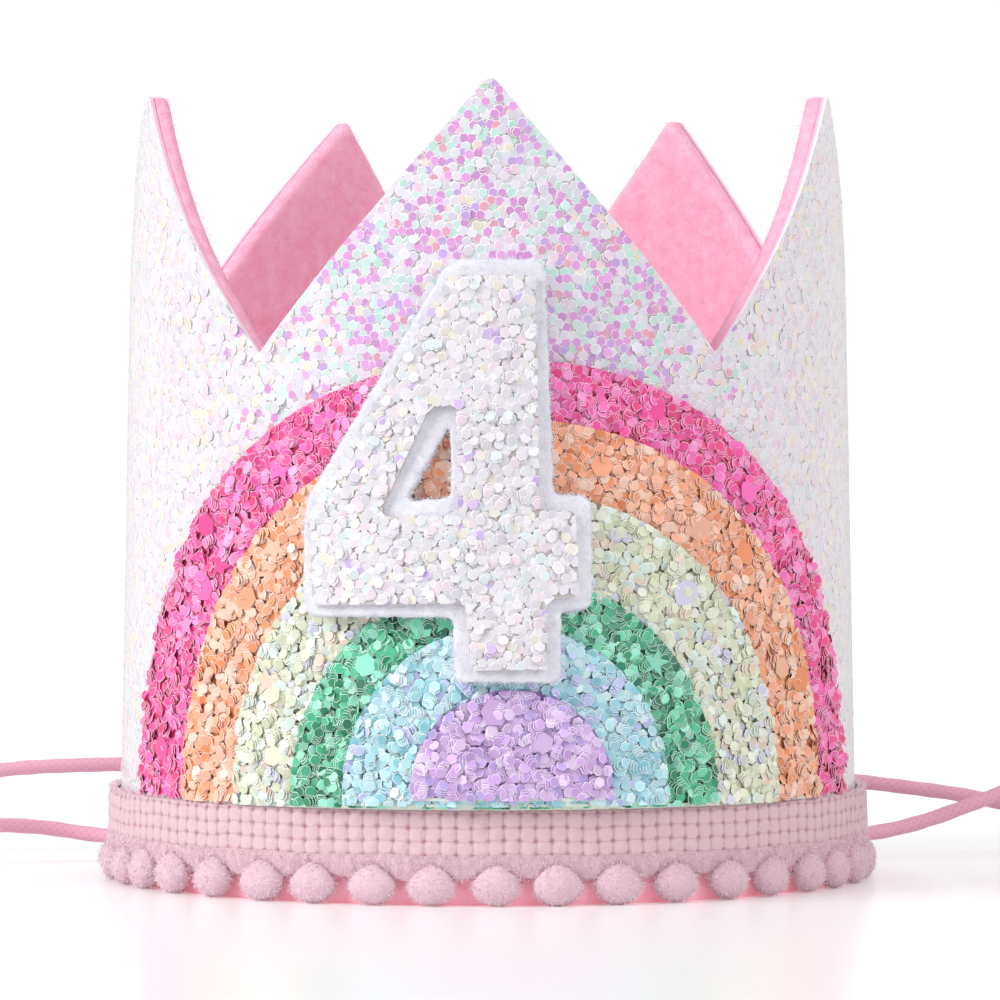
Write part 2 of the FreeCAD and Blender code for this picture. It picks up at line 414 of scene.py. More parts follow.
def in_polygon(corners, u, z):
    """Whether points lie inside a polygon, by counting its crossings."""
    inside = np.zeros(len(u), bool)
    for (u1, z1), (u2, z2) in zip(corners, corners[1:] + corners[:1]):
        crosses = (z1 > z) != (z2 > z)
        at = u1 + (u2 - u1) * (z - z1) / (z2 - z1 + 1e-12)
        inside ^= crosses & (u < at)
    return inside


def nearest_inside(corners, u, z, move):
    """Flat places with the ones to move put on the nearest stretch of a polygon."""
    best = np.full(len(u), 1e9)
    best_u, best_z = u.copy(), z.copy()
    for (u1, z1), (u2, z2) in zip(corners, corners[1:] + corners[:1]):
        along = np.array([u2 - u1, z2 - z1])
        share = np.clip(((u - u1) * along[0] + (z - z1) * along[1]) / (along @ along), 0, 1)
        near_u, near_z = u1 + share * along[0], z1 + share * along[1]
        distance = np.hypot(u - near_u, z - near_z)
        closer = distance < best
        best = np.where(closer, distance, best)
        best_u = np.where(closer, near_u, best_u)
        best_z = np.where(closer, near_z, best_z)
    return np.where(move, best_u, u), np.where(move, best_z, z)


def scatter(low_u, high_u, low_z, high_z, spacing, jitter=0.32):
    """Shaken points of a triangular grid over a flat patch."""
    rows = np.arange(low_z, high_z, spacing * math.sqrt(3) / 2)
    columns = np.arange(low_u, high_u, spacing)
    u, z = np.meshgrid(columns, rows)
    u = u + (np.arange(len(rows)) % 2)[:, None] * spacing / 2
    u = u.ravel() + rng.uniform(-jitter, jitter, u.size) * spacing
    z = z.ravel() + rng.uniform(-jitter, jitter, z.size) * spacing
    return u, z


class Flakes:
    """Glitter flakes lying on a sheet, each a hexagon with a sloping rim."""

    def __init__(self, sheet, u, z, lean_degrees, lift):
        count = len(u)
        self.sheet = sheet
        self.u = u
        self.z = z
        self.lift = rng.uniform(*lift, count)
        self.turn = rng.uniform(0, 2 * math.pi, count)
        self.lean = np.abs(rng.normal(0, math.radians(lean_degrees), count))
        self.lean_way = rng.uniform(0, 2 * math.pi, count)
        self.size = rng.uniform(0.94, 1.04, count) * flake_radius
        self.shade = rng.uniform(0, 1, (count, 3))

    def stack(self, share, most, keep):
        """Turn some flakes into fanned stacks of up to most flakes, where keep allows."""
        seeds = np.flatnonzero(rng.random(len(self.u)) < share)
        fields = {name: [getattr(self, name)] for name in self.columns()}
        for seed in seeds:
            way = rng.uniform(0, 2 * math.pi)
            for step in range(1, rng.integers(2, most + 1)):
                spread = 0.34 * step
                row = {name: getattr(self, name)[seed:seed + 1].copy() for name in self.columns()}
                row["u"] += spread * math.cos(way)
                row["z"] += spread * math.sin(way)
                row["lift"] += 0.1 * step
                row["lean"][:] = math.radians(rng.uniform(12, 24))
                row["lean_way"][:] = way + rng.normal(0, 0.2)
                row["turn"] += rng.normal(0, 0.25)
                row["shade"][:, 1] = rng.uniform(0, 1)
                for name, value in row.items():
                    fields[name].append(value)
        for name, values in fields.items():
            setattr(self, name, np.concatenate(values))
        self.keep(keep(self.u, self.z))

    def columns(self):
        return ("u", "z", "lift", "turn", "lean", "lean_way", "size", "shade")

    def keep(self, mask):
        for name in self.columns():
            setattr(self, name, getattr(self, name)[mask])

    def add(
        self, name, material, slot, colours, trim, rim_share=0.84, rim_highlight_colour=(1, 1, 1), rim_mix=0.6
    ):
        """One piece of all the flakes in their colours, trim cutting them to shape, the rims paler
        with a painted highlight.
        """
        out, round_, up = self.sheet.axes(self.u)
        way = round_ * np.cos(self.lean_way)[:, None] + up * np.sin(self.lean_way)[:, None]
        normal = out * np.cos(self.lean)[:, None] + way * np.sin(self.lean)[:, None]
        first = unit(np.cross(up, normal))
        second = np.cross(normal, first)
        centre = self.sheet.place(self.u, self.z, self.lift + 0.75 * self.size * np.sin(self.lean))
        corners = self.turn[:, None] + np.arange(6) * math.pi / 3
        spoke = (
            first[:, None, :] * np.cos(corners)[:, :, None]
            + second[:, None, :] * np.sin(corners)[:, :, None]
        )
        rim = centre[:, None, :] + spoke * self.size[:, None, None]
        top = centre[:, None, :] + spoke * (self.size * rim_share)[:, None, None]
        top = top + normal[:, None, :] * flake_height

        # Six points round the top and six round the rim
        points = self.sheet.cut(np.concatenate([top, rim], axis=1).reshape(-1, 3), trim)
        faces = []
        for start in range(0, len(points), 12):
            faces.append(tuple(range(start, start + 6)))
            for side in range(6):
                after = (side + 1) % 6
                faces.append((start + side, start + 6 + side, start + 6 + after, start + after))
        tint = np.repeat(colours[:, None, :], 30, axis=1)
        # Painted highlight: the rim's points are mixed towards a pale colour, for the light the
        # sloping rims catch
        tint[:, 6:] = tint[:, 6:] * (1 - rim_mix) + np.array(rim_highlight_colour) * rim_mix
        add_piece(name, points, faces, material, smooth=False, tint=tint.reshape(-1, 3))


def palette_colours(flakes, palette, brightness):
    """One colour for each flake, drawn from weighted colours and shaken in brightness."""
    colours = np.array([linear(code) for code, weight in palette])
    weights = np.cumsum([weight for code, weight in palette])
    choice = np.searchsorted(weights / weights[-1], flakes.shade[:, 0])
    light = 1 + brightness * (2 * flakes.shade[:, 1:2] - 1)
    return np.clip(colours[np.minimum(choice, len(palette) - 1)] * light, 0, 1)


def flake_material(name):
    """Pearly plastic film: the flake's own colour under a clear glossy coat."""
    material, look = new_material(
        name, Roughness=0.3, Coat_Weight=0.2, Coat_Roughness=0.12, Specular_IOR_Level=0.4,
        Thin_Film_Thickness=380.0, Thin_Film_IOR=1.5,
    )
    look.feed("Base Color", look.tint()["Color"])
    return material


def binder_material(name, low, high, foot=None, tinted=False):
    """The canvas under the flakes: binder and small glitter, lumpy and dull.

    Where the canvas is cut it has the tint of its points; or below a foot height it is painted pale,
    painted light on the strip there that lies in shade.
    """
    material, look = new_material(name, Roughness=0.75)
    place = look.add("TexCoord").outputs["Object"]
    grain = look.add("TexVoronoi", Vector=place, Scale=900.0).outputs["Distance"]
    colour = look.ramp(grain, (0.0, linear(high)), (0.7, linear(low)))
    if tinted:
        tint = look.tint()
        colour = look.mix(look.maths("GREATER_THAN", tint["Fac"], 0.01), colour, tint["Color"])
    elif foot is not None:
        # Painted light: below the foot height the binder turns pale, lighting the strip there that
        # lies recessed in shade
        below = look.maths("LESS_THAN", look.height(), foot * MM)
        colour = look.mix(below, colour, (*linear("E6F0E4"), 1))
    look.feed("Base Color", colour)
    look.bump(grain, 0.5, 0.15)
    return material


def felt_material(name, dark, light, glow=None):
    """Pressed felt: matted fibres, soft mottling and a light nap.

    A glow colour stands for the light that seeps through the felt near the floor.
    """
    material, look = new_material(
        name, Roughness=0.95, Sheen_Weight=0.35, Sheen_Roughness=0.5, Specular_IOR_Level=0.15,
        Sheen_Tint=(*linear(light), 1),
    )
    blotch = look.noise(420.0, Detail=4.0, Roughness=0.65)["Fac"]
    fibre = look.noise(1400.0, Detail=6.0, Roughness=0.7, Distortion=1.5)["Fac"]
    half = look.maths("MULTIPLY", look.maths("ADD", blotch, fibre), 0.5)
    look.feed("Base Color", look.ramp(half, (0.36, linear(dark)), (0.62, linear(light))))
    look.bump(half, 0.6, 0.35)
    if glow is not None:
        look.feed("Emission Color", (*linear(glow), 1))
        seep = look.add(
            "MapRange", Value=look.height(), From_Max=canvas_foot * MM, To_Min=seep_level, To_Max=0.0
        )
        look.feed("Emission Strength", seep.outputs["Result"])
    return material


def fibre_material(name):
    material, look = new_material(name, Roughness=0.8, Specular_IOR_Level=0.2)
    look.feed("Base Color", look.tint()["Color"])
    return material


def fibres(name, roots, ways, lengths, width, material_name, colour, shade):
    """Short loose fibres, each a thin tapering ribbon bent once on its way."""
    count = len(roots)
    tints = np.clip(np.array(linear(colour)) * (1 + rng.normal(0, shade, (count, 1))), 0, 1)
    ways = unit(ways)
    across = unit(np.cross(ways, rng.normal(0, 1, (count, 3))))
    bend = np.cross(across, ways)
    lengths = lengths[:, None]
    curl = lengths * fibre_curl
    middle = roots + ways * lengths * 0.55 + bend * curl * 0.3
    tip = roots + ways * lengths + bend * curl * rng.uniform(0.4, 1.6, (count, 1))
    half = across * width / 2
    points = np.stack(
        [roots - half, roots + half, middle + half * 0.8, middle - half * 0.8, tip], axis=1
    )
    add_piece(
        name, points.reshape(-1, 3), ribbon_faces(count), fibre_material(material_name),
        tint=np.repeat(tints, 5, axis=0),
    )


# Weighted flake colours of the wall: the strongly tinted ones paint an iridescent sheen at the front,
# the pale ones are used elsewhere
SHELL_PAINTED_SHEEN = (
    ("E0A2DA", 0.2), ("D496D0", 0.12), ("C8A8DE", 0.1), ("E4A6BA", 0.05),
    ("CBE3DD", 0.23), ("BBE2D6", 0.08), ("DBD8E3", 0.21), ("E2DBC6", 0.01),
)
SHELL_PALE = (
    ("E6E0EA", 0.52), ("DDD7E5", 0.2), ("DBE6E5", 0.09), ("ECDAD0", 0.07),
    ("ECE5CE", 0.05), ("E9CEE0", 0.07),
)


def shell_flakes():
    """Flakes on the white canvas: a painted iridescent sheen tints them strongly at the front, paler
    round the sides.
    """
    sheet = Sheet(wall_radius, wall_taper, wall_radius)
    edge = math.pi * sheet.width_radius - seam_width / 2

    def covered(u, z):
        angle = u / sheet.width_radius
        clear = ~in_disc(0, angle, z, -0.6) & (np.abs(u) < edge)
        return (cut_height(np.degrees(angle)) - z > -0.2) & (z > trim_top - 0.4) & clear

    def trim(u, z):
        u = np.clip(u, -edge, edge)
        return u, np.minimum(z, cut_height(np.degrees(u / sheet.width_radius)) - 0.03)

    u, z = scatter(-edge, edge, trim_top - 1, point_height, shell_spacing, 0.26)
    mask = covered(u, z)
    flakes = Flakes(sheet, u[mask], z[mask], 4, (0.0, 0.08))
    flakes.size *= 0.98
    flakes.stack(0.03, 3, covered)
    angle = np.abs(np.degrees(flakes.u / sheet.width_radius))

    # Flatter towards the sides, where the camera looks along the wall
    side = np.clip((angle - 35) / 30, 0, 1)
    flakes.lean *= 1 - 0.85 * side
    flakes.lift *= 1 - 0.7 * side

    # Painted iridescent sheen: strongly tinted in front, a little behind, and in patches
    painted_sheen_share = np.maximum(np.clip((46 - angle) / 24, 0.0, 1), np.clip((angle - 105) / 30, 0, 0.4))
    patchy = lumps(np.stack([flakes.u, flakes.z, 0 * flakes.u], axis=1) * 0.11)
    painted_sheen_share = np.clip(painted_sheen_share * (0.72 + 1.0 * patchy), 0, 1)
    bright = palette_colours(flakes, SHELL_PAINTED_SHEEN, 0.06)
    pale = palette_colours(flakes, SHELL_PALE, 0.04)
    chosen = rng.random(len(painted_sheen_share))[:, None] < painted_sheen_share[:, None]
    colours = np.where(chosen, bright, pale)
    material = flake_material("shell_flakes")
    front = angle < 90
    for name, part in (("shell_flakes_front", front), ("shell_flakes_back", ~front)):
        half = copy.copy(flakes)
        half.keep(part)
        half.add(name, material, "glitter_white", colours[part], trim, rim_mix=0.75)


def wall_angles(count):
    """Degrees round the wall from the back seam to itself, with every corner among them."""
    seam = math.degrees(seam_width / 2 / wall_radius)
    even = np.linspace(-180 + seam, 180 - seam, count)
    return np.unique(np.concatenate([even, point_angles, valley_angles]))


def on_wall(offset, turn, z):
    """Points an offset outside the face of the wall."""
    return on_circle(wall_radius + offset - wall_taper * z - tip_bend(z), turn, z)


def shell_canvas():
    """The white canvas itself, bending in a little at the tips as the felt does."""
    angles = wall_angles(541)
    top = cut_height(angles)
    shares = np.concatenate([[0.0], np.linspace(0.72, 0.98, 14)])
    rise = top - canvas_foot
    rows = [(0.0, canvas_foot + rise * share) for share in shares]
    rows += [(0.0, top - 0.4), (0.0, top), (-0.35, top)]
    rows += [(-canvas_thickness, canvas_foot + rise * share) for share in (1.0, 0.9, 0.8, 0.0)]
    points = [on_wall(offset, np.radians(angles), heights) for offset, heights in rows]
    faces = strip_faces(len(rows), len(angles))
    cut = np.zeros((len(rows), len(angles) - 1, 4, 3))
    cut[len(shares):len(shares) + 2] = linear("F4F0F4")
    cut[len(shares) + 2:len(shares) + 4] = linear("FCBCD8")
    tint = np.concatenate([cut.reshape(-1, 3), np.zeros((2 * len(rows), 3))])
    binder = binder_material("binder_white", "CBC1C5", "E6E0E3", tinted=True)
    canvas = add_piece(
        "shell_canvas", np.concatenate(points), faces, binder, smooth=False, tint=tint
    )
    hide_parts("glitter_shell")


# For each disc: weighted flake colours, the binder's dark and light, the colour of the painted
# highlight on the rims, the flakes' lean in degrees, how much their brightness varies, and the share
# in stacks
DISC_LOOKS = {
    "pink": (
        (("F7509F", 0.28), ("FF70BE", 0.26), ("EC4484", 0.16), ("FF94CE", 0.17), ("F04E98", 0.13)),
        ("C83468", "F0609F"), "FFD8EC", 18, 0.16, 0.42,
    ),
    "orange": (
        (("FAAC84", 0.3), ("FEC0A0", 0.28), ("F49C66", 0.18), ("FDD4BC", 0.15), ("EC8E56", 0.09)),
        ("C87444", "F7B488"), "FFEBDC", 17, 0.15, 0.38,
    ),
    "cream": (
        (("E0E6C8", 0.26), ("D4DCBA", 0.2), ("DAECE2", 0.21), ("E8D6C0", 0.11), ("ECEEDC", 0.14),
         ("D6D6EA", 0.08)),
        ("86826A", "CCCEB2"), "FDFFF6", 12, 0.15, 0.34,
    ),
    "green": (
        (("4CBE8E", 0.28), ("3AA576", 0.25), ("92E6C8", 0.16), ("257E58", 0.2), ("6AD2A6", 0.11)),
        ("0F4A33", "3E9C74"), "D8F8EA", 21, 0.26, 0.5,
    ),
    "aqua": (
        (("A6DDE6", 0.32), ("BEE8EE", 0.26), ("8CCEDA", 0.17), ("BCC6EE", 0.1), ("D6F3F6", 0.15)),
        ("5C9CA6", "B2E0E6"), "F6FFFF", 13, 0.15, 0.36,
    ),
    "lilac": (
        (("D3B0E4", 0.3), ("CAA4E0", 0.22), ("DEC2EC", 0.22), ("B9A4E2", 0.14), ("E6D0F2", 0.12)),
        ("845CA4", "CEAEE2"), "FCF2FF", 13, 0.15, 0.38,
    ),
}


def disc_flakes(index):
    """Flakes on the part of one disc that the next one leaves open."""
    name, radius, centre, foot, middle = disc_sizes[index]
    palette, binder, rim, lean, shake, share = DISC_LOOKS[name]
    sheet = disc_sheet(index)
    shift = math.radians(middle) * sheet.width_radius

    def open_here(u, z):
        angle = u / sheet.width_radius
        shown = in_disc(index, angle, z, -0.05)
        if index + 1 < len(disc_sizes):
            shown &= ~in_disc(index + 1, angle, z, -0.7)
        return shown

    def trim(u, z):
        span = np.hypot(u - shift, z - centre)
        pull = np.minimum(1, (radius - 0.03) / span)
        return shift + (u - shift) * pull, np.maximum(centre + (z - centre) * pull, foot + 0.03)

    u, z = scatter(shift - radius, shift + radius, foot, centre + radius, disc_spacing)
    mask = open_here(u, z)
    flakes = Flakes(sheet, u[mask], z[mask], lean, (0.0, 0.25))
    flakes.stack(share, 5, open_here)
    colours = palette_colours(flakes, palette, shake)
    # The rims take a painted highlight in the disc's rim colour
    flakes.add(
        "rainbow_flakes_" + name, flake_material("flakes_" + name), "glitter_" + name, colours, trim,
        rim_share=0.86, rim_highlight_colour=linear(rim),
    )
    dress("rainbow_" + name, binder_material("binder_" + name, *binder, foot + 0.4))


def dress(node_name, material):
    """Give a node of the frame its material."""
    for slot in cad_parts[node_name].material_slots:
        slot.material = material


def confetti(index, count):
    """A few large hexagons and stars among the flakes of a disc."""
    name, radius, centre, foot, middle = disc_sizes[index]
    palette = DISC_LOOKS[name][0]
    sheet = disc_sheet(index)
    reach = disc_sizes[index + 1][1] if index + 1 < len(disc_sizes) else 3.0
    points, faces, tint = [], [], []
    while count:
        span = rng.uniform(reach + 2.2, radius - 2.0)
        slope = rng.uniform(0.04, 0.96) * math.pi
        u = math.radians(middle) * sheet.width_radius + span * math.cos(slope)
        z = centre + span * math.sin(slope)
        if z < foot + 2.2:
            continue
        count -= 1
        star = rng.random() < 0.35
        corner_count = 10 if star else 6
        turn = rng.uniform(0, 2 * math.pi)
        angles = turn + np.arange(corner_count) * 2 * math.pi / corner_count
        sizes = np.full(corner_count, rng.uniform(1.4, 2.0))
        if star:
            sizes = np.where(np.arange(corner_count) % 2 == 0, 2.0, 0.85)
        tilt = rng.normal(0, 0.06, 2)
        first = len(points)
        for lift in (0.78, 0.68):
            du = sizes * np.cos(angles)
            dz = sizes * np.sin(angles)
            rise = lift + tilt[0] * du + tilt[1] * dz
            points.extend(sheet.place(u + du, z + dz, rise))
        faces.append(tuple(range(first, first + corner_count)))
        for side in range(corner_count):
            after = (side + 1) % corner_count
            low = first + corner_count
            faces.append((first + side, low + side, low + after, first + after))
        code = palette[rng.integers(len(palette))][0]
        colour = np.array(linear(code)) * rng.uniform(0.85, 1.1)
        tint.extend([np.clip(colour, 0, 1)] * corner_count)
        # Painted highlight: the lower ring is paler, so the side walls show as light-catching edges,
        # as on the flakes' rims
        tint.extend([np.clip(colour * 0.5 + 0.4, 0, 1)] * corner_count)
    material = bpy.data.materials["flakes_" + name]
    add_piece("confetti_" + name, points, faces, material, smooth=False, tint=tint)


NUMERAL_PALETTE = (
    ("E4E1E6", 0.53), ("DCD9E2", 0.17), ("EAD9E2", 0.08), ("DBE6E8", 0.08), ("E9E3D6", 0.06),
    ("D2B8EA", 0.02), ("F0EDF4", 0.06),
)


def numeral_flakes():
    sheet = numeral_sheet(backing_thickness + face_thickness)

    def open_here(u, z):
        return in_polygon(face_outline, u, z) & ~in_polygon(face_window, u, z)

    def trim(u, z):
        u, z = nearest_inside(face_outline, u, z, ~in_polygon(face_outline, u, z))
        return nearest_inside(face_window, u, z, in_polygon(face_window, u, z))

    u, z = scatter(-25, 14, 31, 86, numeral_spacing)
    mask = open_here(u, z)
    flakes = Flakes(sheet, u[mask], z[mask], 7, (0.0, 0.14))
    flakes.stack(0.16, 3, open_here)
    colours = palette_colours(flakes, NUMERAL_PALETTE, 0.06)
    material = flake_material("numeral_flakes")
    flakes.add("numeral_flakes", material, "glitter_pearl", colours, trim, rim_share=0.86)
    dress("numeral_face", binder_material("binder_numeral", "C4BCB8", "EAE6E8"))


def felt_wall():
    """The pink felt lining, with soft cut edges, and its loose fibres."""
    angles = wall_angles(715)
    top = cut_height(angles)
    outside = -canvas_thickness
    inside = outside - felt_thickness
    flat = np.zeros(len(angles))
    rows = [(outside, flat + height) for height in (0.25, 2.0, 4.0, 6.0, 8.0, 30.0)]
    edge_start = len(rows)
    rows += [(outside - depth, top - down * felt_edge_drop) for depth, down in felt_edge]
    edge_end = len(rows)
    for share in np.linspace(1, 0, 20)[1:]:
        rows.append((inside, 0.25 + (top - 1.15 * felt_edge_drop - 0.25) * share))
    rows += [(inside + 0.25, flat), (outside - 0.25, flat)]
    points = []
    for number, (offset, heights) in enumerate(rows):
        inward, upward = 0.0, 0.0
        if edge_start < number < len(rows) - 2:
            place = np.stack([angles, heights, flat + offset], axis=1)
            shake = lumps(place * (0.55, 0.5, 1)) + 0.6 * lumps(place * (1.7, 1.5, 1) + (0, 0, 9))
            if number < edge_end:
                upward = 0.16 * shake
            else:
                inward = 0.12 * shake
        place = on_wall(offset - inward, np.radians(angles), heights)
        place[:, 2] = np.clip(heights + upward, 0, point_height - tip_drop)
        points.append(place)
    pink = felt_material("felt_pink", "F9A6C2", "FFCAE0", "FFA2A8")
    faces = strip_faces(len(rows), len(angles))
    lining = add_piece("felt_wall", np.concatenate(points), faces, pink)
    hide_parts("felt_lining")

    # Fibres along the cut edge
    turn = rng.uniform(-179.5, 179.5, edge_fibres)
    height = cut_height(turn)
    offset = rng.uniform(inside + 0.1, outside - 0.1, edge_fibres)
    turn = np.radians(turn)
    root = on_wall(offset, turn, height) - (0, 0, 0.15)
    side = np.where(offset < (inside + outside) / 2, -1.0, 0.35)[:, None]
    way = on_circle(1, turn, 0) * side * rng.uniform(0, 1, (edge_fibres, 1)) + (0, 0, 0.8)
    way += rng.normal(0, 0.5, way.shape)
    at_tip = root[:, 2] >= point_height - tip_drop - 0.7
    way[at_tip, 2] = -np.abs(way[at_tip, 2]) * 0.3
    lengths = rng.uniform(0.12, 0.42, edge_fibres)

    # Fibres over the inner face, mostly high up
    turn = rng.uniform(-math.pi, math.pi, nap_fibres)
    height = rng.uniform(0.6, 1, nap_fibres) * (cut_height(np.degrees(turn)) - 0.8)
    low = rng.random(nap_fibres) < 0.35
    height = np.where(low, height * rng.uniform(0.1, 0.9, nap_fibres), height)
    inner = on_wall(inside + 0.05, turn, height)
    inner_way = rng.normal(0, 0.8, inner.shape) - on_circle(1, turn, 0) * 0.45
    fibres(
        "felt_fuzz", np.concatenate([root, inner]), np.concatenate([way, inner_way]),
        np.concatenate([lengths, rng.uniform(0.3, 0.9, nap_fibres)]), 0.07,
        "felt_fibres", "FBB9D6", 0.06,
    )


def numeral_felt():
    """The white felt behind the numeral, its cut edges softened, with loose fibres."""
    rough = add_object("numeral_felt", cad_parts["numeral_backing"].data.copy())
    remesh = rough.modifiers.new("remesh", "REMESH")
    remesh.mode = "VOXEL"
    remesh.voxel_size = 0.4 * MM
    smooth = rough.modifiers.new("smooth", "SMOOTH")
    smooth.factor = 0.5
    smooth.iterations = 3
    bpy.context.view_layer.update()
    ready = rough.evaluated_get(bpy.context.evaluated_depsgraph_get())
    mesh = bpy.data.meshes.new_from_object(ready)
    bpy.data.objects.remove(rough)

    def at_points(field):
        values = np.empty(len(mesh.vertices) * 3)
        mesh.vertices.foreach_get(field, values)
        return values.reshape(-1, 3)

    places = at_points("co") / MM
    normals = at_points("normal")
    sheet = numeral_sheet(backing_thickness)
    angle = np.arctan2(places[:, 0], -places[:, 1])
    depth = np.hypot(places[:, 0], places[:, 1]) - (sheet.foot_radius - sheet.taper * places[:, 2])
    shake = lumps(places * 0.7) + 0.7 * lumps(places * 1.9)
    places += normals * (np.where(depth < -0.15, 0.2, 0.1) * shake)[:, None]
    mesh.vertices.foreach_set("co", (places * MM).ravel())
    mesh.polygons.foreach_set("use_smooth", [True] * len(mesh.polygons))
    mesh.materials.clear()
    mesh.materials.append(felt_material("felt_white", "DADAE6", "F2F2FA"))
    felt = add_object("numeral_felt", mesh)
    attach(felt, "root")
    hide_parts("numeral_backing")

    facing = (normals * on_circle(1, angle, 0)).sum(axis=1)
    picked = np.concatenate([
        rng.choice(np.flatnonzero(np.abs(facing) < 0.75), numeral_edge_fibres),
        rng.choice(np.flatnonzero(facing > 0.75), numeral_front_fibres),
    ])
    ways = normals[picked] * 0.55 + rng.normal(0, 0.5, (len(picked), 3))
    fibres(
        "numeral_fuzz", places[picked], ways, rng.uniform(0.25, 0.85, len(picked)), 0.09,
        "white_fibres", "F0F0F8", 0.04,
    )


def braid():
    """The knitted braid: rows of stitches, a smooth lip above and a fuzzy skirt below."""
    around = braid_columns * stitch_points
    inner = wall_radius + trim_base
    outer = inner + trim_thickness
    turn = np.arange(around) * 2 * math.pi / around
    x = turn * braid_columns / (2 * math.pi)
    levels = [(trim_top + rise, lift) for rise, lift in braid_lip]
    stitch_levels = np.arange(braid_edge, fringe_top - 0.01, -braid_row / stitch_points)
    levels += [(z, 0.0) for z in stitch_levels]
    points, uv = [], []
    stitch = np.floor(x).astype(int) % braid_columns
    full = rng.uniform(0.82, 1.12, (6, braid_columns))
    side = 1 - 2 * np.abs(x - np.round(x))
    for z, lift in levels:
        y = (braid_edge - z) / braid_row
        end = 1 - 2 * abs(y - round(y))
        height = 0.52 * np.sqrt(1 - 0.66 * side ** 2 - 0.33 * end ** 2)
        height = height * np.where(side < 0.999, full[int(max(y, 0))][stitch], 1)
        if z > braid_edge + 0.01:
            height = 0.2 + 0.04 * np.cos(2 * math.pi * x)
        wobble = 0.05 * np.sin(turn * 37 + z) + 0.04 * np.sin(turn * 91 - 2 * z)
        radius = outer + lift + height + wobble - wall_taper * z
        level = z + (0.09 * np.sin(turn * 17) + 0.07 * np.sin(turn * 43)) * (z < trim_top - 0.3)
        points.append(on_circle(radius, turn, level))
        uv.append(np.stack([x, y + 0 * x], axis=1))

    # The skirt, which hangs lower at each pom-pom
    pompom = (np.degrees(turn) - pompom_start) / (360 / pompom_count)
    foot = 4.1 - 0.6 * np.cos(2 * math.pi * (pompom - 0.5)) - 0.2 * np.sin(turn * 53)
    crease = 0.10 * np.cos(2 * math.pi * x) + 0.08 * np.sin(turn * 211)
    for share in np.linspace(0.12, 1, 9):
        z = fringe_top - 0.1 + (foot - fringe_top + 0.1) * share
        radius = outer + 0.16 - 0.75 * share ** 1.6 + crease * (1 - 0.4 * share) - wall_taper * z
        points.append(on_circle(radius, turn, z))
        uv.append(np.stack([x, 5 + share + 0 * x], axis=1))
    points.append(on_circle(inner + 0.02, turn, z))
    uv.append(np.stack([x, 6.3 + 0 * x], axis=1))
    piece = add_piece(
        "braid_knit", np.concatenate(points), [face[::-1] for face in tube_faces(len(points), around)],
        braid_material(), uv=np.concatenate(uv),
    )
    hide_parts("trim_braid")

    # Loose pile over the skirt, along the lip and a little over the stitches
    total = braid_fibres
    turn = rng.uniform(-math.pi, math.pi, total)
    low = rng.random(total) < 0.62
    lip = ~low & (rng.random(total) < 0.4)
    low_z = rng.uniform(3.4, fringe_top + 0.4, total)
    z = np.where(low, low_z, rng.uniform(fringe_top, trim_top - 0.1, total))
    z = np.where(lip, trim_top + 0.1, z)
    share = np.clip((fringe_top - z) / 3, 0, 1)
    roots = on_circle(outer + 0.2 - 0.75 * share ** 1.6 - wall_taper * z, turn, z)
    out = on_circle(1, turn, 0)
    ways = out * rng.uniform(0.3, 0.9, (total, 1)) + rng.normal(0, 0.45, (total, 3))
    ways[:, 2] += np.where(low, -0.6, 0.0) + np.where(lip, 0.8, 0.0)
    roots -= out * np.where(lip, rng.uniform(0, 1.0, total) ** 2, 0.0)[:, None]
    lengths = np.where(low | lip, rng.uniform(0.3, 0.85, total), rng.uniform(0.15, 0.4, total))
    fibres("braid_fuzz", roots, ways, lengths, 0.08, "braid_fibres", "F9DEE7", 0.06)


def braid_material():
    """Knitted yarn with painted shade: dark holes where four stitches meet, fine darker lines in the
    grooves between stitches, lightest at each stitch's middle.
    """
    material, look = new_material(
        "braid_yarn", Roughness=0.9, Sheen_Weight=0.3, Sheen_Roughness=0.4, Specular_IOR_Level=0.2
    )
    shake = look.noise(700.0, Detail=3.0)["Color"]
    shake = look.maths("SUBTRACT", shake, (0.5, 0.5, 0.5), kind="VectorMath")
    shake = look.maths("MULTIPLY", shake, (0.34, 0.34, 0.34), kind="VectorMath")
    place = look.split(look.maths("ADD", look.wrap(), shake, kind="VectorMath"))
    across = look.maths("PINGPONG", place["X"], 0.5)
    down = look.maths("PINGPONG", place["Y"], 0.5)
    dot = look.maths("MULTIPLY_ADD", across, 3.0, look.maths("MULTIPLY", down, 2.4))
    upright = look.maths("MULTIPLY_ADD", across, 4.5, 0.56)
    level = look.maths("MULTIPLY_ADD", down, 5.0, 0.6)
    # Painted shade: darkest in the holes where four stitches meet, darker along the grooves between
    # stitches, lightest at each stitch's middle
    painted_stitch_shade = look.ramp(
        look.maths("MINIMUM", dot, look.maths("MINIMUM", upright, level)),
        (0.0, linear("B67F8D")), (0.28, linear("CA9BA8")), (0.7, linear("DCB5BF")),
        (1.0, linear("E8C9D1")),
    )
    below = look.maths("GREATER_THAN", place["Y"], 3.6)
    look.feed("Base Color", look.mix(below, painted_stitch_shade, (*linear("EBCAD4"), 1)))
    look.bump(look.noise(2600.0, Detail=5.0, Roughness=0.7)["Fac"], 0.7, 0.3)
    return material


def pompom_shape(ball, seed):
    """A soft ball, broad below and narrower where it hangs from the trim."""
    shaped = ball * (1 + 0.05 * lumps(ball * 2.0 + seed))[:, None]
    shaped[:, :2] *= (1 - 0.26 * np.clip(ball[:, 2] + 0.1, 0, 1) ** 1.3)[:, None]
    return shaped


